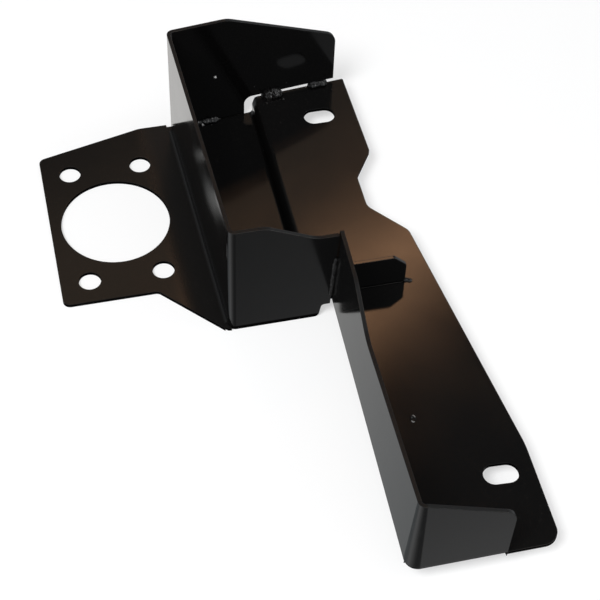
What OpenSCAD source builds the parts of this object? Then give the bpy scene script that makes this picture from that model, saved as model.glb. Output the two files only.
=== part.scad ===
// Bumper bracket of two folded steel sheets, welded together.
// The box bracket is a mounting plate with a large hole and four bolt holes, folded up
// into a left wall that turns into a front wall and a back wall. The long plate starts as a
// low panel inside that box, steps up, and runs forward as a slotted plate with a tall flange
// and a turned-up end.
// The origin is the centre of the large hole, on the underside of the mounting plate.
// X runs across towards the long plate, Y runs back along it, Z is up.

/* [Sheet] */
// Thickness of both steel sheets
sheet_t = 2; // [1.5:0.1:2.5]
// Inside radius of every fold
fold_r = 2; // [1:0.25:2.5]

/* [Mounting plate] */
// Diameter of the large hole
hub_d = 60; // [40:1:64]
// Diameter of the four bolt holes
bolt_d = 12; // [8:0.5:14]
// Distance between the bolt holes in X
bolt_dx = 40; // [34:1:44]
// Distance between the bolt holes in Y
bolt_dy = 80; // [76:1:86]
// Reach of the plate to the left of the hole's centre
plate_left = 35.9; // [34:0.1:50]
// Reach of the plate in front of the hole's centre
plate_front = 54.4; // [54:0.1:62]
// Reach of the plate behind the hole's centre, at its left side
plate_back_left = 54.3; // [52:0.1:60]
// Reach of the plate behind the hole's centre, at the wall
plate_back = 68.5; // [64:0.5:72]
// Length in X of the front edge's diagonal, up to the wall
plate_slant = 30.2; // [20:0.1:34]
// Length in X of the level stretch of the back edge, left of the wall
plate_level = 16.2; // [10:0.1:30]
// Radius of the plate's free corners
plate_corner_r = 4; // [1:0.5:8]

/* [Box] */
// Outer face of the left wall, from the hole's centre
wall_x = 44.3; // [42:0.1:56]
// Angle of the left wall to the Y axis
wall_turn = 1.8; // [0:0.1:4]
// Distance of the front wall's outer face in front of the hole's centre
box_front = 86.4; // [80:0.2:96]
// Distance of the box's outer back left corner behind the hole's centre
box_back = 66.1; // [60:0.1:72]
// Angle of the back wall to the X axis
back_turn = 6.5; // [0:0.5:10]
// Height of the walls over the underside
wall_h = 76; // [70:0.5:90]
// Length of the back wall along its outer face
back_len = 100; // [90:0.5:110]
// Length of the back wall's level top, from the corner
back_level = 35; // [20:0.5:50]
// Height of the back wall's sloping top at its free end
back_end_h = 48.5; // [40:0.5:60]
// Height of the front wall where it meets the flange
front_end_h = 62.5; // [58:0.5:70]
// Length of the front wall's level top, from the corner
front_level = 19; // [10:0.5:24]
// Distance in X over which the front wall's top drops
front_drop = 26.5; // [18:0.5:30]
// Radius of the rounded corner at the back wall's free end
back_corner_r = 8; // [3:0.5:12]

/* [Step] */
// Height of the long plate's step
step_h = 10; // [9:0.5:14]
// Left face of the step, from the hole's centre
step_x = 91.7; // [86:0.1:92]
// Gap over the raised plate under the back wall
back_gap = 2.7; // [1:0.1:4]
// Reach of the raised plate under the back wall, beside the step
under_step = 1.5; // [0.5:0.1:1.8]
// Reach of the raised plate under the back wall, at its right side
under_right = 0.4; // [0:0.1:1.5]
// Depth to which the front wall's lower edge covers the raised plate's underside
front_lap = 0.7; // [0.2:0.1:2]
// Room between the step and the edge of the walls' cut-outs
step_room = 5; // [3:0.5:7]

/* [Long plate] */
// Outer face of the tall flange where it meets the front wall
flange_x = 101.5; // [100:0.1:106]
// Angle of the flange to the Y axis
flange_turn = 1.4; // [0:0.1:3]
// Lean of the flange and the end over the plate
flange_lean = 3; // [0:0.5:5]
// Distance of the turned-up end's outer face in front of the hole's centre
end_front = 251.8; // [220:0.2:290]
// Radius of the corner between the flange and the turned-up end
end_corner_r = 7; // [6.5:0.5:10]
// Right edge of the long plate at its free end
plate_right = 174.3; // [165:0.1:186]
// Length in Y of the right edge's straight stretch at the free end
right_straight = 56; // [40:1:80]
// Right edge of the long plate in front of its notch
waist_right = 155; // [150:0.5:165]
// Right edge of the long plate behind its notch
tail_right = 148.9; // [146:0.1:156]
// Right edge of the long plate at the bottom of its notch
notch_x = 137; // [132:0.5:142]
// Radius of the free end's outer corner
plate_end_r = 8; // [3:0.5:14]
// Radius of the right edge's bend behind that straight stretch
side_bend_r = 60; // [20:5:90]
// Radius of the notch's bends
notch_r = 8; // [4:0.5:10]
// Radius of the bend behind the notch
tail_r = 5; // [3:0.5:10]

/* [Slots] */
// Length of the two slots
slot_len = 18; // [14:0.5:22]
// Width of the two slots
slot_w = 11.5; // [8:0.5:13]
// Front slot's centre in X
slot_front_x = 157.4; // [150:0.1:160]
// Front slot's centre, in front of the hole's centre
slot_front_y = 208.4; // [195:0.1:230]
// Back slot's centre in X
slot_back_x = 127.2; // [118:0.1:134]
// Back slot's centre, behind the hole's centre
slot_back_y = 48.7; // [40:0.1:56]
// Angle of the front slot to the X axis
slot_turn = -3; // [-6:0.5:6]

/* [Flange] */
// Height of the flange at the front wall
flange_wall_h = 64; // [58:0.5:72]
// Height of the flange at its lowest place
flange_low_h = 54.2; // [46:0.2:58]
// Height of the flange and the turned-up end at their corner
flange_end_h = 62.9; // [56:0.1:72]
// Distance from the front wall to the start of the drop in the flange's top
flange_drop_start = 32; // [20:1:44]
// Length of that drop
flange_drop_len = 31; // [20:1:44]
// Length in X of the turned-up end at its foot, from the flange's outer face
end_len = 49; // [36:0.5:60]
// Height of the turned-up end's sloping top at its free side
end_side_h = 44.9; // [36:0.1:52]

/* [Lug] */
// Front face of the lug, in front of the hole's centre
lug_y = 82; // [76:0.1:82.5]
// Right side of the lug
lug_x = 143.2; // [130:0.1:147]
// Height of the lug over the raised plate
lug_h = 20.5; // [14:0.5:26]
// Size of the cut corner of the lug
lug_cut = 6.8; // [2:0.2:10]

/* [Welds] */
// Leg length of the bead along the low panel
bead_panel = 2.4; // [2:0.2:4]
// Length of that bead between its round ends
bead_panel_len = 12; // [6:1:16]
// Middle of that bead, from the hole's centre
bead_panel_x = 64; // [58:1:70]
// Leg length of the bead on the raised plate, which bridges the gap under the back wall
bead_plate = 4.8; // [4.6:0.1:6]
// Length of that bead between its round ends
bead_plate_len = 4; // [2:0.5:10]
// Middle of that bead, from the hole's centre
bead_plate_x = 103.8; // [101:0.1:112]
// Leg length of the bead between the front wall and the flange
bead_seam = 1.6; // [1:0.1:1.8]
// Leg length of the bead at the lug's foot
bead_lug = 3.6; // [2:0.2:5]

/* [Hidden] */
$fn = 96;
paint = "#202225";
far = 400;
// Depth to which pieces of one sheet run into each other, and the skin left at such a joint
sink = 0.5;
skin = 0.03;
// Amount by which a rounding's circle crosses its two edges, so that it never just touches them
ease = 0.004;

// Radii of a fold and heights of the raised plate
fold_out = fold_r + sheet_t;
// Depth to which a flat sheet runs under the leg of its fold, and height of the leg's own start
tongue = fold_out * 0.8;
bury = 0.3;
deck_z = step_h + sheet_t;
fold_z = step_h + fold_out;

// Box: its two outer corners and the free ends of its walls
front_y = -box_front;
corner_front = [wall_x + tan(wall_turn) * box_front, front_y];
corner_back = [wall_x - tan(wall_turn) * box_back, box_back];
front_in_y = front_y + sheet_t;
wall_dir = unit(corner_back - corner_front);
back_dir = [cos(back_turn), sin(back_turn)];
front_setback = setback(corner_front, [1, 0], wall_dir, fold_out);
back_setback = setback(corner_back, -wall_dir, back_dir, fold_out);
wall_len = norm(corner_back - corner_front);
fold_len = wall_len - front_setback - back_setback;

// Flange: the vertical axis of its corner with the turned-up end, and where it ends
end_y = -end_front;
corner_fold = end_corner_r - fold_out;
corner_axis = [flange_face_x(end_y + end_corner_r) + end_corner_r / cos(flange_turn), end_y + end_corner_r];
flange_len = (front_in_y - corner_axis[1]) / cos(flange_turn);
end_fold_y = corner_axis[1] - corner_fold;
end_right = flange_face_x(end_y) + end_len;
plate_end_y = end_y + 1.2;

function unit(v) = v / norm(v);
// Distance from a corner to where a round of radius r starts, for edges along u and v
function setback(p, u, v, r) = r / tan(acos(unit(u) * unit(v)) / 2);
function round_centre(p, u, v, r) = p + unit(unit(u) + unit(v)) * r / sin(acos(unit(u) * unit(v)) / 2);
function cross2(a, b) = a[0] * b[1] - a[1] * b[0];
function around(pts, i) = pts[(i + len(pts)) % len(pts)];
function is_outward(pts, i) = cross2(pts[i] - around(pts, i - 1), around(pts, i + 1) - pts[i]) > 0;
// Face lines of the leaning walls in the XY plane
function flange_face_x(y) = flange_x + tan(flange_turn) * (y - front_y);
function wall_face_x(y) = wall_x - tan(wall_turn) * y;
function fold_edge(y) = wall_face_x(y) - fold_r / cos(wall_turn);
function back_in_y(x) = box_back - sheet_t / cos(back_turn) + tan(back_turn) * (x - corner_back[0]);
function fold_line_x(y) = flange_face_x(y) + fold_out / cos(flange_turn);

// Corner piece between two edges and the round of radius r that replaces or fills it
module corner_piece(p, a, b, r) {
    u = unit(a - p);
    v = unit(b - p);
    d = setback(p, u, v, r);
    c = round_centre(p, u, v, r);
    difference() {
        polygon([p + unit(p - c) * sink, p + u * d, c, p + v * d]);
        translate(c) circle(r + ease);
    }
}

// Outline whose corners are rounded, given counter-clockwise with one radius per corner
module outline(pts, radii) {
    n = len(pts);
    difference() {
        union() {
            polygon(pts);
            for (i = [0 : n - 1])
                if (radii[i] > 0 && !is_outward(pts, i))
                    corner_piece(pts[i], around(pts, i - 1), around(pts, i + 1), radii[i]);
        }
        for (i = [0 : n - 1])
            if (radii[i] > 0 && is_outward(pts, i))
                corner_piece(pts[i], around(pts, i - 1), around(pts, i + 1), radii[i]);
    }
}

// A fold is drawn in section with its axis over X = 0: the flat sheet lies to the right, its
// underside at z0, and the leg rises on the left, leaning to the right by an angle.
function leg_dir(lean) = [sin(lean), cos(lean)];
function leg_foot(z0, lean) = [fold_out * (sin(lean) - 1) / cos(lean), z0];
function leg_inner(z0, lean) = round_centre(leg_foot(z0, lean), leg_dir(lean), [1, 0], sheet_t);

// The round that fills a fold's inner corner
module fold_fill(z0, lean) {
    p = leg_inner(z0, lean);
    corner_piece(p, p + leg_dir(lean), p + [1, 0], fold_r);
}

// The round that is cut off a fold's outer corner
module fold_cut(z0, lean) {
    p = leg_foot(z0, lean);
    corner_piece(p, p + leg_dir(lean), p + [1, 0], fold_out);
}

module leg_slab(z0, lean, leg_h) {
    d = leg_dir(lean);
    foot = leg_foot(z0, lean);
    inner = leg_inner(z0, lean);
    polygon([foot + d * bury, inner, inner + d * leg_h, foot + d * leg_h]);
}

// Stands a drawing in X and Z upright, from y0 forward by depth
module upright(y0, depth) {
    translate([0, y0, 0]) rotate([90, 0, 0]) linear_extrude(depth) children();
}

module slot_hole(length, width) {
    straight = length - width;
    square([straight, width], center = true);
    for (side = [-1, 1]) translate([side * straight / 2, 0]) circle(d = width);
}

// Mounting plate up to the fold line of the left wall, with a tongue that runs under the wall
module mounting_plate() {
    under = sheet_t / 2;
    tongue_front = corner_front[1] + front_setback - bury;
    tongue_back = corner_back[1] - back_setback + bury;
    slant = fold_edge(front_y) - plate_slant;
    pts = [
        [-plate_left, -plate_front], [slant, -plate_front], [fold_edge(front_y), front_y],
        [fold_edge(tongue_front), tongue_front], [wall_face_x(tongue_front) + under, tongue_front],
        [wall_face_x(tongue_back) + under, tongue_back], [fold_edge(tongue_back), tongue_back],
        [fold_edge(plate_back), plate_back],
        [fold_edge(plate_back) - plate_level, plate_back], [-plate_left, plate_back_left]
    ];
    round_r = plate_corner_r;
    linear_extrude(sheet_t) difference() {
        outline(pts, [round_r, round_r, 0, 0, 0, 0, 0, 0, 3 * round_r, round_r]);
        circle(d = hub_d, $fn = 180);
        for (x = [-1, 1], y = [-1, 1]) translate([x * bolt_dx / 2, y * bolt_dy / 2]) circle(d = bolt_d);
    }
}

// Plan of the left, front and back walls as one bent strip
module wall_strip() {
    front_end = [flange_x + fold_out, front_y];
    back_end = corner_back + back_dir * (back_len + fold_out);
    back_out = [-back_dir[1], back_dir[0]];
    outline([
        front_end, front_end + [0, sheet_t],
        round_centre(corner_front, [1, 0], wall_dir, sheet_t),
        round_centre(corner_back, -wall_dir, back_dir, sheet_t),
        back_end - back_out * sheet_t, back_end, corner_back, corner_front
    ], [0, 0, fold_r, fold_r, 0, 0, fold_out, fold_out]);
}

// Side view of what is cut off the front wall: over its top and, under it, over the step
module front_cuts() {
    top = wall_h + 10 * ease;
    low = step_h - front_lap;
    level_x = corner_front[0] + front_level;
    cut_x = step_x + step_room;
    outline([
        [level_x, top], [level_x + front_drop, front_end_h], [far, front_end_h],
        [far, far], [level_x - 20, far], [level_x - 20, top]
    ], [14, 14, 0, 0, 0, 0]);
    outline([
        [cut_x - 12, -10 * ease], [cut_x - 12, -far], [far, -far], [far, low], [cut_x, low],
        [cut_x - 1.5, -10 * ease]
    ], [0, 0, 0, 0, 2, 3]);
}

// Side view of what is cut off the back wall: over its top, beyond its end, and under it
module back_cuts() {
    top = wall_h + 10 * ease;
    cut_s = (step_x - step_room - corner_back[0]) / cos(back_turn);
    low = deck_z + back_gap;
    outline([
        [back_level - 20, top], [back_level, top], [back_len, back_end_h],
        [back_len, -far], [far, -far], [far, far], [back_level - 20, far]
    ], [0, 15, back_corner_r, 0, 0, 0, 0]);
    outline([[cut_s, -far], [far, -far], [far, low], [cut_s, low]], [0, 0, 0, step_room]);
}

module walls() {
    difference() {
        linear_extrude(wall_h) wall_strip();
        upright(0, far) front_cuts();
        translate(corner_back) rotate(back_turn) upright(sheet_t * 2, sheet_t * 4) back_cuts();
    }
}

// Frame of the fold along the left wall's foot, over more of its length at both ends
module wall_fold(more) {
    translate(corner_front) rotate(wall_turn) translate([-fold_r, front_setback, 0])
        upright(fold_len + more, fold_len + 2 * more) mirror([1, 0]) children();
}

module box_bracket() {
    color(paint) difference() {
        union() {
            mounting_plate();
            walls();
            wall_fold(0) fold_fill(0, 0);
        }
        wall_fold(2 * bury) fold_cut(0, 0);
        flange_frame() translate([-fold_out, flange_len - 2 * fold_out, -far / 2]) cube([far, 4 * fold_out, far]);
    }
}

// Low panel inside the box, up to the fold of the step
module low_panel() {
    room = sheet_t + sink;
    linear_extrude(sheet_t) outline([
        [wall_face_x(front_in_y) + room, front_in_y], [step_x - fold_r, front_in_y],
        [step_x - fold_r, box_back + wall_h], [wall_face_x(box_back) + room, box_back + wall_h]
    ], [3, 0, 0, 0]);
}

// The step's two folds and the short wall between them, with flats that run into the plates
module step() {
    run = fold_out + 2;
    right = step_x + sheet_t;
    upright(box_back + wall_h, box_back + wall_h - front_in_y) outline([
        [step_x - run, 0], [right, 0], [right, step_h], [right + run, step_h],
        [right + run, deck_z], [step_x, deck_z], [step_x, sheet_t], [step_x - run, sheet_t]
    ], [0, fold_out, fold_r, 0, 0, fold_out, fold_r, 0]);
}

// Raised plate up to the fold lines of the flange and of the turned-up end, with tongues that
// run under their legs
module deck() {
    x0 = step_x + fold_out;
    waist_y = -47;
    notch_front = -25.5;
    notch_back = -2.8;
    tail_y = 15.5;
    tail_end = tail_right - 2;
    side_y = corner_axis[1] - bury;
    side_x = corner_axis[0] - bury;
    pts = [
        [fold_line_x(end_fold_y), end_fold_y],
        [side_x, end_fold_y], [side_x, end_fold_y - tongue], [end_right - bury, end_fold_y - tongue],
        [end_right - bury, plate_end_y],
        [plate_right, plate_end_y], [plate_right, plate_end_y + right_straight],
        [waist_right, waist_y], [notch_x, notch_front], [notch_x, notch_back],
        [tail_right, tail_y], [tail_end, box_back + wall_h], [x0, box_back + wall_h],
        [x0, front_in_y], [fold_line_x(front_in_y) - tongue, front_in_y],
        [fold_line_x(side_y) - tongue, side_y], [fold_line_x(side_y), side_y]
    ];
    radii = [
        corner_fold - 2 * bury, 0, 0, 0, 0, plate_end_r, side_bend_r, notch_r, notch_r, notch_r, tail_r,
        0, 0, 0, 0, 0, 0
    ];
    translate([0, 0, step_h]) linear_extrude(sheet_t) difference() {
        outline(pts, radii);
        translate([slot_front_x, -slot_front_y]) rotate(slot_turn) slot_hole(slot_len, slot_w);
        translate([slot_back_x, slot_back_y]) slot_hole(slot_len, slot_w);
    }
}

// Everything behind the inner face of the back wall, cut off the long plate in one go. The
// raised plate reaches a little under the wall, on a line of its own.
module behind_back() {
    tail = tail_right - 1.5;
    tail_y = back_in_y(tail) + under_right;
    low = step_x + 0.2 * sheet_t;
    high = step_x + 0.9 * sheet_t;
    translate([0, 0, -sink]) linear_extrude(wall_h) polygon([
        [0, back_in_y(0)], [low, back_in_y(low)], [high, back_in_y(high) + under_step],
        [tail, tail_y], [far, tail_y + tail - far], [far, 2 * far], [0, 2 * far]
    ]);
}

// Frame of the flange: the fold's axis at its foot, leaning with the flange
module flange_frame() {
    translate(corner_axis) rotate(-flange_turn) translate([-corner_fold, 0, fold_z])
        rotate([0, flange_lean, 0]) children();
}

// Stands a section upright along the flange, over more of its length at each end
module along_flange(front_more, back_more) {
    translate(corner_axis) rotate(-flange_turn) translate([-corner_fold, 0, 0])
        upright(flange_len + back_more, flange_len + back_more + front_more) children();
}

// Stands a section upright along the turned-up end, from its corner to right of its free side
module along_end(more) {
    x0 = corner_axis[0] - bury;
    translate([x0, corner_axis[1], 0]) rotate(90) translate([-corner_fold, 0, 0])
        upright(0, end_right + more - x0) children();
}

module flange() {
    low_s = flange_len - flange_drop_start - flange_drop_len;
    top = [
        [-1, 0], [flange_len + 1, 0], [flange_len + 1, flange_wall_h],
        [flange_len - flange_drop_start, flange_wall_h], [low_s, flange_low_h],
        [-1, flange_end_h + (flange_end_h - flange_low_h) / low_s]
    ];
    intersection() {
        along_flange(bury, 0) leg_slab(step_h, flange_lean, flange_wall_h);
        translate(corner_axis) rotate(-flange_turn) translate([-far / 2, 0, 0]) rotate([90, 0, 90])
            linear_extrude(far) outline(top, [0, 0, 0, 18, 30, 0]);
    }
}

// The round corner between the flange and the turned-up end, swept about an upright axis
module end_corner() {
    d = leg_dir(flange_lean);
    foot = leg_foot(step_h, flange_lean);
    outer = round_centre(foot, d, [1, 0], skin);
    inner = round_centre(foot, d, [1, 0], sheet_t - skin);
    intersection() {
        translate(corner_axis) rotate(180 - flange_turn) rotate_extrude(angle = 90 + flange_turn)
            translate([corner_fold, 0]) mirror([1, 0]) outline([
                outer, [1, step_h + skin], [1, deck_z - skin], inner,
                inner + d * flange_end_h, outer + d * flange_end_h
            ], [fold_out - skin, 0, 0, fold_r + skin, 0, 0]);
        translate([corner_axis[0] - far / 2, corner_axis[1] - far / 2, 0])
            cube([far, far, flange_end_h - skin]);
    }
}

module turned_end() {
    x0 = corner_axis[0];
    pts = [
        [x0 - 1, 0], [end_right, 0], [end_right + 2, end_side_h],
        [x0 - 1, flange_end_h + (flange_end_h - end_side_h) / (end_right + 2 - x0)]
    ];
    intersection() {
        along_end(sheet_t) leg_slab(step_h, flange_lean, flange_end_h);
        upright(corner_axis[1], far) outline(pts, [0, 0, 8, 0]);
    }
}

// Lug folded in from the lower part of the flange's back end, standing on the raised plate
module lug() {
    p = [-fold_out, (sheet_t - lug_y - corner_axis[1]) / cos(flange_turn)];
    down = [0, -1];
    across = [cos(flange_turn), sin(flange_turn)];
    outer = round_centre(p, down, across, skin);
    inner = round_centre(p, down, across, sheet_t - skin);
    stub = flange_len - 1;
    top = deck_z + lug_h;
    pts = [
        [flange_x - 10, deck_z - sink], [lug_x, deck_z - sink], [lug_x, top - lug_cut],
        [lug_x - lug_cut, top], [flange_x - 10, top]
    ];
    intersection() {
        flange_frame() translate([0, 0, -2 * fold_out]) linear_extrude(far) outline([
            [outer[0], stub], [inner[0], stub], inner,
            inner + across * lug_x, outer + across * lug_x, outer
        ], [0, 0, fold_r, 0, 0, fold_out]);
        upright(0, box_front + 10) outline(pts, [0, 0, 2, 2, 0]);
    }
}

module long_plate() {
    color(paint) {
        difference() {
            union() {
                low_panel();
                step();
                deck();
                flange();
                along_flange(bury, 0) fold_fill(step_h, flange_lean);
                turned_end();
                along_end(0) fold_fill(step_h, flange_lean);
            }
            behind_back();
            along_flange(1.4 * bury, bury) fold_cut(step_h, flange_lean);
            translate([-0.4 * bury, 0, 0]) along_end(bury) fold_cut(step_h, flange_lean);
        }
        end_corner();
        lug();
    }
}

// Weld bead with round ends, laid along X in the corner of two faces
module bead(length, leg) {
    intersection() {
        union() {
            rotate([0, 90, 0]) cylinder(r = leg, h = length, center = true);
            for (side = [-1, 1]) translate([side * length / 2, 0, 0]) sphere(leg);
        }
        translate([-length, -2 * leg, 0]) cube([2 * length, 2 * leg, 2 * leg]);
    }
}

module weld_panel() {
    color(paint) translate([bead_panel_x, back_in_y(bead_panel_x), sheet_t]) rotate(back_turn)
        bead(bead_panel_len, bead_panel);
}

module weld_plate() {
    color(paint) translate([bead_plate_x, back_in_y(bead_plate_x), deck_z]) rotate(back_turn)
        bead(bead_plate_len, bead_plate);
}

module weld_seam() {
    seam_low = 4;
    seam_high = 30;
    seam_y = (front_y - corner_axis[1]) / cos(flange_turn);
    color(paint) intersection() {
        flange_frame() intersection() {
            translate([-fold_out, seam_y, seam_low]) union() {
                cylinder(r = bead_seam, h = seam_high - seam_low);
                sphere(bead_seam);
                translate([0, 0, seam_high - seam_low]) sphere(bead_seam);
            }
            translate([-fold_out - far, 0, -fold_z]) cube(far);
        }
        translate([0, front_y - far, 0]) cube(far);
    }
}

module weld_lug() {
    color(paint) translate([lug_x, -lug_y + sheet_t / 2, deck_z]) rotate(90) bead(sheet_t, bead_lug);
}

box_bracket();
long_plate();
weld_panel();
weld_plate();
weld_seam();
weld_lug();
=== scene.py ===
"""Studio scene for the bumper bracket: gloss black paint on two folded steel sheets."""
import math

import bmesh
import bpy
from mathutils import Euler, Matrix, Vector, noise


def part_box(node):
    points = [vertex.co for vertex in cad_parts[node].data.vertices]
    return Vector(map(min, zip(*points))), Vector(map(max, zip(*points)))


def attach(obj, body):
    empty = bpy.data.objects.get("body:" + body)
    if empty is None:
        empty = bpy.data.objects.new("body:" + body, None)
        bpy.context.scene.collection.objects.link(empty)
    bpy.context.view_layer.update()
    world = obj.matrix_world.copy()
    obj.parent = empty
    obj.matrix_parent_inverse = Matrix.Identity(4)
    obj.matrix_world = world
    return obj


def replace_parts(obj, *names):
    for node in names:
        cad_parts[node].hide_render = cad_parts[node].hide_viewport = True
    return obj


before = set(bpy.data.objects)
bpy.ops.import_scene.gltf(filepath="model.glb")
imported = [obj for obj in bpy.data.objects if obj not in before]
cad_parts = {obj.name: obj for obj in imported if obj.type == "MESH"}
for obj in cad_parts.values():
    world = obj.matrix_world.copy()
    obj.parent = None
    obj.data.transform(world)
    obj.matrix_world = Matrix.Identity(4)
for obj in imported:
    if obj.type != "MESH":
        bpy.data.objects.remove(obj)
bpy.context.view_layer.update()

MM = 0.001

# Camera: at the photograph's viewing angle
CAMERA_PLACE = Vector((-48.8, -590.6, 661.5)) * MM
CAMERA_TURN = (38.915, -1.624, -12.835)
CAMERA_LENS = 95.18

# What the paint mirrors: azimuth, elevation, half width, half height and tilt in degrees, and colour
GLOWS = [
    (17.2, 51.0, 6.2, 1.25, -39.0, (7.1, 3.8, 2.0)),
    (-4.0, 51.6, 17.5, 3.2, -16.6, (0.46, 0.32, 0.21)),
    (98.0, 40.0, 8.0, 8.0, 0.0, (9.0, 9.0, 9.0)),
    (-2.0, -40.0, 17.0, 18.0, 0.0, (1.00, 0.98, 0.95)),
    (-55.0, -54.0, 22.0, 20.0, 0.0, (0.12, 0.14, 0.15)),
    (-98.0, -48.0, 13.0, 16.0, 0.0, (0.50, 0.50, 0.50)),
    (-125.0, -52.0, 14.0, 12.0, 0.0, (0.26, 0.26, 0.26)),
    (146.0, -60.0, 12.0, 12.0, 0.0, (0.54, 0.54, 0.54)),
]

# Drops of spatter coloured pale grey as a painted glint, by their place in the list
GLINT_DROPS = (0, 3)

# The lamp: azimuth and elevation in degrees, distance and width in metres, power in watts, and
# the point in metres that it looks at
LAMP = (-130, 56, 1.7, 0.7, 23)
LAMP_AIM = Vector((0.07, -0.08, 0.0))

# The floor: half its width in metres, and the part of its white that is its own to the camera
FLOOR_HALF = 12.0
FLOOR_OWN = 0.55

# Radius of the painted edges, in millimetres
EDGE_ROUND = 0.45

# The streak on the left wall, near its top, paler and duller: a painted sheen. Middle and reach, in
# millimetres
SHEEN_STREAK = ((44.0, -26.0, 60.0), (14.0, 46.0, 20.0))

# Corners of the mounting plate at both ends of the left wall's fold, in millimetres
FOLD_END_BACK = [(38.8, 61.0), (44.0, 61.0), (43.4, 66.8), (38.8, 66.8)]
FOLD_END_FRONT = [(43.7, -80.0), (43.8, -84.2), (46.6, -86.6), (48.4, -86.9), (48.4, -82.0)]

# Driving sizes of the part, in millimetres and degrees
SHEET = 2.0
BACK_TURN = 6.5
WALL_TURN = 1.8
FLANGE_LEAN = 3.0
BOX_BACK_CORNER = (42.22, 66.1)
SEAM_FOOT = (101.6, -86.4)

# Beads along the back wall's foot: their middle in X, length between the round ends, and radius
PANEL_BEAD = (64.0, 12.0, 2.3)
PLATE_BEAD = (103.8, 4.0, 4.6)
RIGHT_BEAD = (132.0, 6.5, 3.0)

# Radii of the bead up the front wall's free edge and of the lug's, and the lug's bead itself
SEAM_RADIUS = 1.5
LUG_RADIUS = 1.5
LUG_X = 143.4
LUG_BEAD = Vector((2.6, -0.8, -0.5))

# The dent in the raised plate's paint: its middle, half sizes and the height of its rim
DENT_PLACE = (123.9, -168.6)
DENT_HALF = (1.5, 2.6)
DENT_RIM = 0.28


def add_node(tree, kind, inputs=None, **settings):
    """A node whose inputs are set to a value or linked to another node's socket."""
    made = tree.nodes.new(kind)
    for name, value in settings.items():
        setattr(made, name, value)
    for name, value in (inputs or {}).items():
        if isinstance(value, bpy.types.NodeSocket):
            tree.links.new(value, made.inputs[name])
        else:
            made.inputs[name].default_value = value
    return made


def calc(tree, operation, first, second):
    """The value of one arithmetic step between sockets or numbers."""
    return add_node(tree, "ShaderNodeMath", {0: first, 1: second}, operation=operation).outputs[0]


def product(tree, first, *others):
    """The product of several values."""
    for other in others:
        first = calc(tree, "MULTIPLY", first, other)
    return first


def dot(tree, vector, axis):
    """The share of a vector along an axis."""
    made = add_node(tree, "ShaderNodeVectorMath", {0: vector, 1: axis}, operation="DOT_PRODUCT")
    return made.outputs["Value"]


def blend_range(tree, value, low, high, at_low=0.0, at_high=1.0):
    """A smooth change of a value between two levels of another one."""
    made = add_node(tree, "ShaderNodeMapRange", {
        "Value": value, "From Min": low, "From Max": high, "To Min": at_low, "To Max": at_high,
    }, interpolation_type="SMOOTHSTEP")
    return made.outputs["Result"]


def speckle(tree, place, scale, detail):
    """A noise over the surface, as a value from 0 to 1."""
    made = add_node(tree, "ShaderNodeTexNoise", {"Vector": place, "Scale": scale, "Detail": detail})
    return made.outputs["Fac"]


def bump(tree, height, strength, depth, normal=None):
    """The surface's direction after a bump whose depth is in millimetres."""
    inputs = {"Height": height, "Strength": strength, "Distance": depth * MM}
    if normal is not None:
        inputs["Normal"] = normal
    return add_node(tree, "ShaderNodeBump", inputs).outputs["Normal"]


def link_object(name, data):
    made = bpy.data.objects.new(name, data)
    bpy.context.scene.collection.objects.link(made)
    return made


def make_camera():
    data = bpy.data.cameras.new("camera")
    data.lens = CAMERA_LENS
    data.sensor_width = 36
    data.clip_start = 0.01
    data.clip_end = 60
    camera = link_object("camera", data)
    camera.location = CAMERA_PLACE
    camera.rotation_euler = Euler([math.radians(a) for a in CAMERA_TURN])
    bpy.context.scene.camera = camera


def sky_direction(azimuth, elevation):
    """Unit vector: azimuth from +Y towards +X and elevation over the horizon, in degrees."""
    a, e = math.radians(azimuth), math.radians(elevation)
    return Vector((math.sin(a) * math.cos(e), math.cos(a) * math.cos(e), math.sin(e)))


def glow(tree, direction, azimuth, elevation, wide, high, tilt):
    """A soft oval light around the object, as a value from 0 to 1. Its sizes are in degrees."""
    centre = sky_direction(azimuth, elevation)
    right = Vector((centre.y, -centre.x, 0)).normalized()
    up = right.cross(centre)
    cos, sin = math.cos(math.radians(tilt)), math.sin(math.radians(tilt))
    long_axis = right * cos + up * sin
    short_axis = up * cos - right * sin
    across = calc(tree, "DIVIDE", dot(tree, direction, long_axis), math.sin(math.radians(wide)))
    along = calc(tree, "DIVIDE", dot(tree, direction, short_axis), math.sin(math.radians(high)))
    spread = calc(tree, "ADD", product(tree, across, across), product(tree, along, along))
    fall = calc(tree, "POWER", math.e, product(tree, spread, -1.0))
    return product(tree, fall, calc(tree, "GREATER_THAN", dot(tree, direction, centre), 0.0))


def tint(tree, value, colour):
    made = add_node(tree, "ShaderNodeVectorMath", {0: colour, "Scale": value}, operation="SCALE")
    return made.outputs["Vector"]


def add_colours(tree, first, second):
    return add_node(tree, "ShaderNodeVectorMath", {0: first, 1: second}, operation="ADD").outputs["Vector"]


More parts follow.
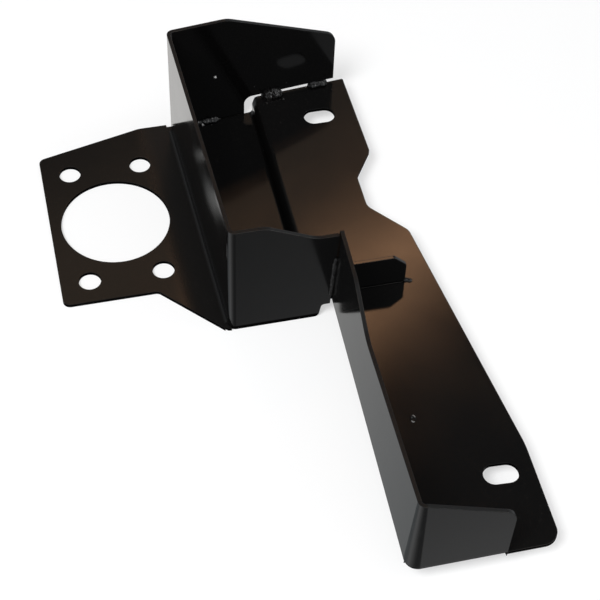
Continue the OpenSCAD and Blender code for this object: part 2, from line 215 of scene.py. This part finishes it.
def make_world():
    """What the gloss paint mirrors: pale walls, a ceiling that is dim at the back, and the GLOWS."""
    world = bpy.data.worlds.new("studio")
    world.use_nodes = True
    tree = world.node_tree
    tree.nodes.clear()
    direction = add_node(tree, "ShaderNodeTexCoord").outputs["Generated"]
    height = dot(tree, direction, (0, 0, 1))
    horizon = 0.36
    back = dot(tree, direction, tuple(sky_direction(12.0, 0.0)))
    ceiling = blend_range(tree, back, -0.35, 0.42, 0.65, 0.075)
    ground = blend_range(tree, height, -0.98, -0.91, 0.01, 0.12)
    lower = blend_range(tree, height, -0.62, -0.30, ground, horizon)
    upper = blend_range(tree, height, 0.30, 0.60, 0.0, 1.0)
    room = add_node(tree, "ShaderNodeMix", {"Factor": upper, "A": lower, "B": ceiling}).outputs["Result"]
    light = tint(tree, room, (0.97, 1.0, 1.03))
    for *shape, colour in GLOWS:
        light = add_colours(tree, light, tint(tree, glow(tree, direction, *shape), colour))
    background = add_node(tree, "ShaderNodeBackground", {"Color": light, "Strength": 1.0})
    output = add_node(tree, "ShaderNodeOutputWorld", {"Surface": background.outputs[0]})
    output.is_active_output = True
    bpy.context.scene.world = world


def make_lamp(azimuth, elevation, distance, size, power):
    """A soft lamp. The paint mirrors the room's own glows in its place."""
    data = bpy.data.lights.new("key", "AREA")
    data.shape = "DISK"
    data.size = size
    data.energy = power
    lamp = link_object("key", data)
    back = sky_direction(azimuth, elevation)
    lamp.location = LAMP_AIM + back * distance
    lamp.visible_glossy = False
    lamp.rotation_mode = "QUATERNION"
    lamp.rotation_quaternion = (-back).to_track_quat("-Z", "Y")


def make_floor():
    """Pale floor. Part of its white is its own to the camera; the rest takes the shadow."""
    material = bpy.data.materials.new("pale_floor")
    material.use_nodes = True
    tree = material.node_tree
    tree.nodes.clear()
    path = add_node(tree, "ShaderNodeLightPath")
    seen = calc(tree, "MAXIMUM", path.outputs["Is Camera Ray"], path.outputs["Is Transmission Ray"])
    own = add_node(tree, "ShaderNodeEmission", {"Strength": product(tree, seen, FLOOR_OWN)})
    rest = 1 - FLOOR_OWN
    lit = add_node(tree, "ShaderNodeBsdfDiffuse", {"Color": (rest, rest, rest, 1)})
    both = add_node(tree, "ShaderNodeAddShader", {0: own.outputs[0], 1: lit.outputs[0]})
    add_node(tree, "ShaderNodeOutputMaterial", {"Surface": both.outputs[0]})
    half = FLOOR_HALF
    corners = [(-half, -half, 0), (half, -half, 0), (half, half, 0), (-half, half, 0)]
    mesh = bpy.data.meshes.new("floor")
    mesh.from_pydata(corners, [], [(0, 1, 2, 3)])
    mesh.materials.append(material)
    floor = link_object("floor", mesh)
    floor.location.z = -0.02 * MM
    floor.visible_glossy = False


def blend_colour(tree, factor, first, second):
    made = add_node(tree, "ShaderNodeMix", data_type="RGBA")
    for socket, value in ((made.inputs[0], factor), (made.inputs[6], first), (made.inputs[7], second)):
        if isinstance(value, bpy.types.NodeSocket):
            tree.links.new(value, socket)
        else:
            socket.default_value = value
    return made.outputs[2]


def glint_grey_material():
    """Dull pale grey with a fine grain: painted highlights on the dent's rim and painted glints on specks
    of spatter.
    """
    material = bpy.data.materials.new("painted_glint_grey")
    material.use_nodes = True
    tree = material.node_tree
    shader = tree.nodes["Principled BSDF"]
    place = add_node(tree, "ShaderNodeTexCoord").outputs["Object"]
    grain = speckle(tree, place, 1500.0, 3.0)
    colour = blend_colour(tree, grain, (0.24, 0.24, 0.24, 1), (0.62, 0.61, 0.60, 1))
    tree.links.new(colour, shader.inputs["Base Color"])
    tree.links.new(bump(tree, grain, 0.3, 0.1), shader.inputs["Normal"])
    shader.inputs["Roughness"].default_value = 0.4
    return material


def oval_patch(tree, place, centre, reach):
    """A soft oval patch in millimetres, as a value from 0 to 1."""
    shifted = add_node(tree, "ShaderNodeVectorMath", {
        0: place, 1: tuple(c * MM for c in centre)}, operation="SUBTRACT").outputs["Vector"]
    scaled = add_node(tree, "ShaderNodeVectorMath", {
        0: shifted, 1: tuple(r * MM for r in reach)}, operation="DIVIDE").outputs["Vector"]
    far = add_node(tree, "ShaderNodeVectorMath", {0: scaled}, operation="LENGTH").outputs["Value"]
    return blend_range(tree, far, 0.25, 1.0, 1.0, 0.0)


def dull_fold(tree, place):
    """The dull band of the mounting plate along its fold, as a value from 0 to 1."""
    parts = add_node(tree, "ShaderNodeSeparateXYZ", {"Vector": place})
    along = product(tree, parts.outputs["Y"], math.tan(math.radians(WALL_TURN)))
    across = calc(tree, "ADD", parts.outputs["X"], along)
    near = blend_range(tree, across, 20 * MM, 35 * MM)
    short = blend_range(tree, across, 44 * MM, 47 * MM, 1.0, 0.0)
    low = blend_range(tree, parts.outputs["Z"], 3 * MM, 6 * MM, 1.0, 0.0)
    return product(tree, near, short, low)


def top_edges(tree, place, flat):
    """The sheared top edges of the upright walls, where the paint is thin and dull."""
    height = add_node(tree, "ShaderNodeSeparateXYZ", {"Vector": place}).outputs["Z"]
    facing = blend_range(tree, dot(tree, flat, (0, 0, 1)), 0.80, 0.95)
    return product(tree, facing, blend_range(tree, height, 34 * MM, 38 * MM))


def cut_edges(tree, place, flat):
    """The sheared side edges of both sheets and the flange's foot, which mirror nothing."""
    parts = add_node(tree, "ShaderNodeSeparateXYZ", {"Vector": place})
    height = parts.outputs["Z"]
    side = blend_range(tree, dot(tree, flat, (0, 0, 1)), 0.3, 0.6, 1.0, 0.0)
    low_sheet = blend_range(tree, height, 2.0 * MM, 3.2 * MM, 1.0, 0.0)
    over = blend_range(tree, height, 9.0 * MM, 9.8 * MM)
    under = blend_range(tree, height, 12.4 * MM, 13.8 * MM, 1.0, 0.0)
    beyond_box = blend_range(tree, parts.outputs["X"], 101.0 * MM, 103.0 * MM)
    raised = product(tree, over, under, beyond_box)
    return product(tree, side, calc(tree, "MAXIMUM", low_sheet, raised))


def paint_normal(tree, place, rounded, lumps):
    """The paint's direction: rounded edges, faint waves, orange peel and, on welds, a rough skin."""
    waved = bump(tree, speckle(tree, place, 45.0, 1.0), 0.05, 0.4, rounded)
    peeled = bump(tree, speckle(tree, place, 420.0, 2.0), 0.06, 0.05, waved)
    if not lumps:
        return peeled
    return bump(tree, speckle(tree, place, 1100.0, 2.0), 0.35, lumps, peeled)


def paint_colour(tree, place, flat, cloud, worn, sheen_streak):
    """Near black, a little paler on worn edges and where dust lies, and paler in the streak on the left
    wall as a painted sheen.
    """
    body = blend_colour(tree, cloud, (0.0018, 0.0018, 0.0020, 1), (0.0036, 0.0033, 0.0030, 1))
    body = blend_colour(tree, worn, body, (0.030, 0.027, 0.024, 1))
    specks = blend_range(tree, speckle(tree, place, 900.0, 3.0), 0.60, 0.75)
    level = blend_range(tree, dot(tree, flat, (0, 0, 1)), 0.6, 1.0)
    body = blend_colour(tree, product(tree, specks, level), body, (0.012, 0.011, 0.010, 1))
    # Paler colour in the streak on the left wall: a painted sheen.
    return blend_colour(tree, sheen_streak, body, (0.008, 0.008, 0.0075, 1))


def paint_roughness(tree, cloud, dull_places):
    """The gloss of the paint, less in each dull place by its own share."""
    rough = blend_range(tree, cloud, 0.35, 0.65, 0.105, 0.135)
    for place, share in dull_places:
        rough = calc(tree, "ADD", rough, product(tree, place, share))
    return rough


def paint_material(name="black_paint", lumps=0.0):
    """Gloss black paint on steel. Its lumps, in millimetres, are those of a weld under it."""
    material = bpy.data.materials.new(name)
    material.use_nodes = True
    tree = material.node_tree
    tree.nodes.clear()
    place = add_node(tree, "ShaderNodeTexCoord").outputs["Object"]
    flat = add_node(tree, "ShaderNodeNewGeometry").outputs["Normal"]
    rounded = add_node(tree, "ShaderNodeBevel", {"Radius": EDGE_ROUND * MM}, samples=6).outputs["Normal"]
    cloud = speckle(tree, place, 22.0, 5.0)
    edge = blend_range(tree, dot(tree, rounded, flat), 0.999, 0.96)
    gloss = blend_range(tree, cut_edges(tree, place, flat), 0.0, 1.0, 1.0, 0.0)
    worn = product(tree, edge, gloss, blend_range(tree, cloud, 0.42, 0.60))
    leftward = blend_range(tree, dot(tree, flat, (-1, 0, 0)), 0.7, 0.9)
    # The streak on the left wall: its paler colour is a painted sheen, and its paint is duller.
    sheen_streak = product(tree, oval_patch(tree, place, *SHEEN_STREAK), leftward)
    dull_places = [
        (edge, 0.12), (sheen_streak, 0.12),
        (dull_fold(tree, place), 0.34), (top_edges(tree, place, flat), 0.30),
    ]
    shader = add_node(tree, "ShaderNodeBsdfPrincipled", {
        "Base Color": paint_colour(tree, place, flat, cloud, worn, sheen_streak),
        "Roughness": paint_roughness(tree, cloud, dull_places),
        "IOR": 1.5,
        "Specular IOR Level": product(tree, gloss, 0.5),
        "Normal": paint_normal(tree, place, rounded, lumps),
    })
    add_node(tree, "ShaderNodeOutputMaterial", {"Surface": shader.outputs[0]})
    return material


def dress_nodes(material):
    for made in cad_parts.values():
        for slot in made.material_slots:
            slot.material = material


def back_face(x, z):
    """The point of the back wall's inner face at x and z."""
    corner_x, corner_y = BOX_BACK_CORNER
    turn = math.radians(BACK_TURN)
    run = (x - corner_x) / math.cos(turn)
    return Vector((x, corner_y + run * math.sin(turn) - SHEET / math.cos(turn), z))


def add_piece(name, verts, faces, material, smooth=True):
    """A mesh given in millimetres, riding on the bracket."""
    mesh = bpy.data.meshes.new(name)
    mesh.from_pydata([v * MM for v in verts], [], faces)
    mesh.materials.append(material)
    for face in mesh.polygons:
        face.use_smooth = smooth
    piece = link_object(name, mesh)
    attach(piece, "root")
    return piece


def band_faces(first, bands, around, flip=False):
    """The quads between rings of points. The first ring starts at the point named first."""
    faces = []
    for start in range(first, first + bands * around, around):
        for k in range(around):
            here, beside = start + k, start + (k + 1) % around
            quad = (here, beside, beside + around, here + around)
            faces.append((quad[0], quad[3], quad[2], quad[1]) if flip else quad)
    return faces


def tuck_in(point, level):
    """A bead's point, kept from coming out of the far side of the sheets that it joins."""
    sink = 0.7 * SHEET
    behind = back_face(point.x, 0.0).y + sink
    return Vector((point.x, min(point.y, behind), max(point.z, level - sink)))


def bead_swell(t, place, seed, pitch):
    """How far a bead's skin stands out of its rod, as a share of the radius: scales and lumps."""
    scale = ((t + 0.5 * noise.noise(Vector((t * 0.8, seed, 0)))) / pitch) % 1.0
    ridge = 0.16 * (1 - scale) ** 0.6 - 0.10
    large = noise.noise(place / 2.0 + Vector((seed, 0, 0))) * 0.22
    small = noise.noise(place + Vector((0, seed, 0))) * 0.08
    return ridge + large + small


def weld_bead(name, start, end, radius, seed, material, pitch=1.7):
    """A lumpy bead laid in scales: a rod with round ends, sunk into the corner that it fills."""
    axis = end - start
    length = axis.length
    along = axis.normalized()
    side = along.orthogonal().normalized()
    over = along.cross(side)
    around = 48
    rings = max(24, round((length + 2 * radius) / 0.16))
    verts = [start - along * radius]
    for i in range(1, rings):
        t = -radius + (length + 2 * radius) * i / rings
        past = max(-t, t - length, 0.0)
        reach = math.sqrt(max(radius * radius - past * past, 0.0))
        middle = start + along * t
        for k in range(around):
            a = 2 * math.pi * k / around
            out = (side * math.cos(a) + over * math.sin(a)) * reach
            swell = bead_swell(t, middle + out, seed, pitch)
            verts.append(tuck_in(middle + out * (1 + swell), start.z))
    verts.append(end + along * radius)
    faces = [(0, 1 + (k + 1) % around, 1 + k) for k in range(around)]
    faces += band_faces(1, rings - 2, around)
    last, tip = 1 + (rings - 2) * around, len(verts) - 1
    faces += [(last + k, last + (k + 1) % around, tip) for k in range(around)]
    return add_piece(name, verts, faces, material)


def along_back(middle_x, z, length):
    """Both ends of a straight line in the corner at the back wall's foot."""
    half = length / 2 * math.cos(math.radians(BACK_TURN))
    return back_face(middle_x - half, z), back_face(middle_x + half, z)


def back_bead(name, size, z, seed, material):
    """A bead in the corner at the back wall's foot."""
    middle_x, length, radius = size
    return weld_bead(name, *along_back(middle_x, z, length), radius, seed, material)


def make_welds(rough_paint, paint):
    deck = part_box("weld_plate")[0].z / MM
    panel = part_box("weld_panel")[0].z / MM
    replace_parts(back_bead("bead_panel", PANEL_BEAD, panel, 3.1, rough_paint), "weld_panel")
    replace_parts(back_bead("bead_plate", PLATE_BEAD, deck, 7.7, rough_paint), "weld_plate")
    back_bead("bead_plate_right", RIGHT_BEAD, deck, 12.3, rough_paint)
    low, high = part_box("weld_seam")
    end_room = 1.4
    foot = Vector((*SEAM_FOOT, low.z / MM + end_room))
    rise = (high.z - low.z) / MM - 2 * end_room
    top = foot + Vector((math.tan(math.radians(FLANGE_LEAN)), 0, 1)) * rise
    bead = weld_bead("bead_seam", foot, top, SEAM_RADIUS, 21.9, rough_paint, pitch=1.2)
    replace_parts(bead, "weld_seam")
    low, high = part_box("weld_lug")
    foot = Vector((LUG_X, (low.y + high.y) / 2 / MM, deck))
    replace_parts(weld_bead("bead_lug", foot, foot + LUG_BEAD, LUG_RADIUS, 30.5, paint), "weld_lug")


def make_spatter(material, glint_grey):
    """Small drops of weld metal beside the beads: most in the black paint, some pale grey as a painted
    glint.
    """
    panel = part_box("weld_panel")[0].z / MM
    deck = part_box("weld_plate")[0].z / MM
    drops = [
        (back_face(69.7, 35.8), 0.8),
        (back_face(93.0, 21.5), 0.5),
        (back_face(112.5, 19.0), 0.6),
        (Vector((61.0, 64.4, panel)), 1.0),
        (Vector((66.0, 63.2, panel)), 0.6),
        (Vector((109.5, 66.0, deck)), 0.9),
        (Vector((99.5, 64.8, deck)), 0.7),
        (Vector((139.5, 68.5, deck)), 0.6),
        (Vector((136.5, -74.0, deck)), 0.6),
    ]
    for i, (place, radius) in enumerate(drops):
        drop = bmesh.new()
        bmesh.ops.create_icosphere(drop, subdivisions=3, radius=radius)
        verts = [place + v.co * (1 + 0.25 * noise.noise(v.co * 2 + Vector((i, 0, 0)))) for v in drop.verts]
        faces = [tuple(v.index for v in face.verts) for face in drop.faces]
        drop.free()
        # Some drops are pale grey: a painted glint.
        add_piece(f"spatter_{i + 1}", verts, faces, glint_grey if i in GLINT_DROPS else material)


def make_corner(name, outline, material):
    """A flat corner of the sheet at an end of the fold, level with the mounting plate."""
    low, high = 0.04, SHEET - 0.04
    count = len(outline)
    verts = [Vector((x, y, z)) for z in (low, high) for x, y in outline]
    faces = [tuple(range(count))[::-1], tuple(range(count, 2 * count))]
    for k in range(count):
        n = (k + 1) % count
        faces.append((k, n, count + n, count + k))
    add_piece(name, verts, faces, material, smooth=False)


def make_crescent(name, middle, half_x, half_y, start, end, thick, material):
    """A thin crescent on a flat face: part of an oval's rim, thickest in its middle."""
    steps, around = 16, 8
    verts = []
    for i in range(steps + 1):
        a = math.radians(start + (end - start) * i / steps)
        out = Vector((math.cos(a), math.sin(a), 0))
        fat = thick * math.sqrt(max(math.sin(math.pi * (i + 0.3) / (steps + 0.6)), 0.02))
        for k in range(around):
            b = 2 * math.pi * k / around
            spot = middle + Vector((out.x * half_x, out.y * half_y, 0))
            verts.append(spot + out * fat * math.cos(b) + Vector((0, 0, 0.4 * fat * math.sin(b))))
    faces = [tuple(range(around)), tuple(range(steps * around, (steps + 1) * around))[::-1]]
    faces += band_faces(0, steps, around, flip=True)
    add_piece(name, verts, faces, material)


def make_chip(material, glint_grey):
    """The dent in the raised plate's paint: a low oval rim around a hollow, with two pale grey crescents
    on its rim as painted highlights.
    """
    middle = Vector((*DENT_PLACE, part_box("weld_plate")[0].z / MM))
    half_x, half_y = DENT_HALF
    around, rings = 48, 14
    verts = [middle + Vector((0, 0, 0.02))]
    for i in range(1, rings + 1):
        r = i / rings
        height = DENT_RIM * math.exp(-((r - 0.62) / 0.2) ** 2) + 0.02 - 0.08 * r ** 6
        for k in range(around):
            a = 2 * math.pi * k / around
            wobble = 1 + 0.12 * noise.noise(Vector((math.cos(a) * 1.5, math.sin(a) * 1.5, 4.0)))
            flat = Vector((math.cos(a) * half_x, math.sin(a) * half_y, 0)) * r * wobble
            verts.append(middle + flat + Vector((0, 0, height * (1 + 0.5 * math.sin(a)))))
    faces = [(0, 1 + k, 1 + (k + 1) % around) for k in range(around)]
    faces += band_faces(1, rings - 1, around, flip=True)
    add_piece("paint_dent", verts, faces, material)
    # Pale grey crescents on the dent's rim: painted highlights.
    make_crescent("glint_crescent_back", middle + Vector((0.3, 0, 0.1)), 1.1, 2.0, 20, 110, 0.30, glint_grey)
    make_crescent("glint_crescent_front", middle + Vector((-0.1, 0, 0.1)), 1.0, 1.9, 200, 300, 0.30, glint_grey)


make_camera()
make_world()
make_lamp(*LAMP)
make_floor()
paint = paint_material()
dress_nodes(paint)
# Pale grey for the painted highlights on the dent's rim and the painted glints on spatter.
glint_grey = glint_grey_material()
beads = paint_material("bead_paint", lumps=0.25)
make_welds(beads, paint)
make_spatter(beads, glint_grey)
make_chip(paint, glint_grey)
make_corner("fold_end_back", FOLD_END_BACK, paint)
make_corner("fold_end_front", FOLD_END_FRONT, paint)

scene = bpy.context.scene
scene.view_settings.view_transform = "Standard"
